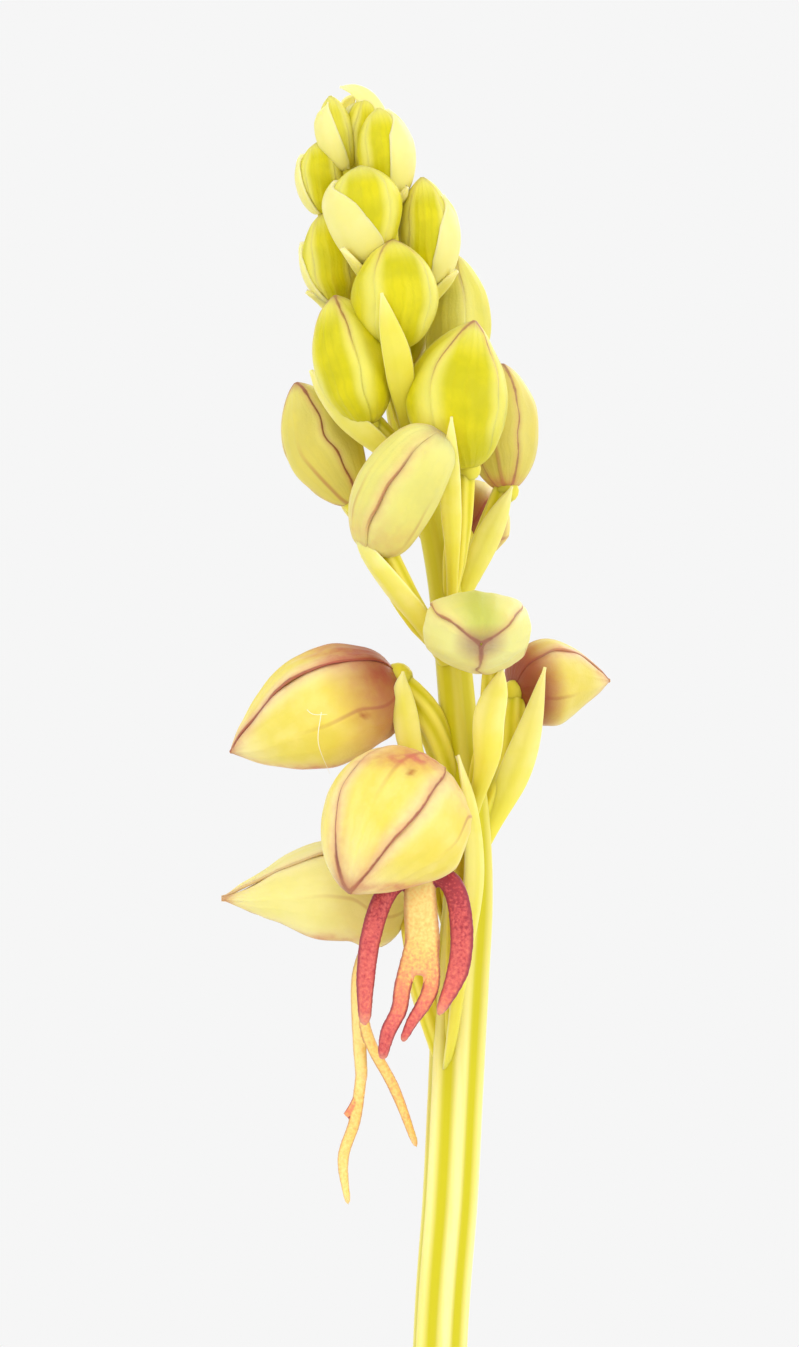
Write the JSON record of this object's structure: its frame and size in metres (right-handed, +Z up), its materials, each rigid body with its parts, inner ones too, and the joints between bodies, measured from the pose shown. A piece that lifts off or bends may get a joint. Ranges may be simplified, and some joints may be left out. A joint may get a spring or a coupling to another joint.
{
  "type": "potted man orchid",
  "caption": "Potted man orchid: a slender flower spike with buds above and hooded flowers with man-shaped lips below, over a leaf rosette in a plain clay pot.",
  "frame": {"origin": "middle of the pot's underside, on the surface it stands on", "axes": "+Z up the stem; -Y towards the viewer of the reference view; +X to that viewer's right"},
  "size_m": [0.1268, 0.1324, 0.2372],
  "materials": {
    "clay": "matte",
    "soil": "matte",
    "tuber": "matte",
    "stem": "satin",
    "leaf": "satin",
    "bud": "satin",
    "hood": "satin",
    "ovary": "satin",
    "lip": "satin"
  },
  "bodies": {
    "root": {"stem": "stem", "flower_3_hood": "hood", "flower_3_stalk": "ovary", "flower_3_lip": "lip", "flower_4_lip": "lip", "bud_10": "bud", "bud_13": "bud", "bud_14": "bud", "bud_07": "bud", "bud_04": "bud", "bud_09": "bud", "bud_05": "bud", "bud_02": "bud", "bud_12": "bud", "bud_08": "bud", "bud_11": "bud", "bud_06": "bud", "bud_03": "bud", "bud_01": "bud", "spike_tip": "bud", "flower_1_hood": "hood", "flower_1_stalk": "ovary", "flower_4_hood": "hood", "flower_4_stalk": "ovary", "flower_2_hood": "hood", "flower_2_stalk": "ovary", "flower_5_hood": "hood", "flower_5_stalk": "ovary", "flower_6_hood": "hood", "flower_6_stalk": "ovary", "bud_15": "bud", "bud_16": "bud", "bud_17": "bud", "bud_18": "bud", "pot": "clay", "soil": "soil", "tubers": "tuber", "leaf_1": "leaf", "leaf_2": "leaf", "leaf_3": "leaf", "leaf_4": "leaf", "leaf_5": "leaf", "leaf_6": "leaf", "sheath_leaf_1": "leaf", "sheath_leaf_2": "leaf"}
  },
  "joints": []
}
